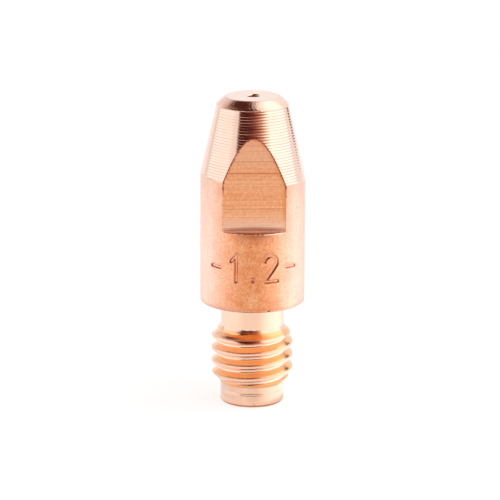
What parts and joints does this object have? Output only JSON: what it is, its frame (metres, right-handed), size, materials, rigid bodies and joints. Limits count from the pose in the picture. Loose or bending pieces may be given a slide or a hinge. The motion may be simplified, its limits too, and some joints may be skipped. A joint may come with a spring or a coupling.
{
  "type": "welding contact tip",
  "caption": "Turned copper contact tip for a wire welding torch: tapered nose, wrench flats, undercut neck, screwed shank and an axial wire bore.",
  "frame": {"origin": "on the bore axis, in the plane of the thread end that the tip stands on", "axes": "+Z along the bore axis towards the nose, -Y out of the front wrench flat, +X to its right"},
  "size_m": [0.01, 0.01, 0.03],
  "materials": {
    "copper": "machined copper: satin barrel, milled flats, bright turned nose, neck and thread"
  },
  "bodies": {
    "root": {"contact_tip": "copper"}
  },
  "joints": []
}
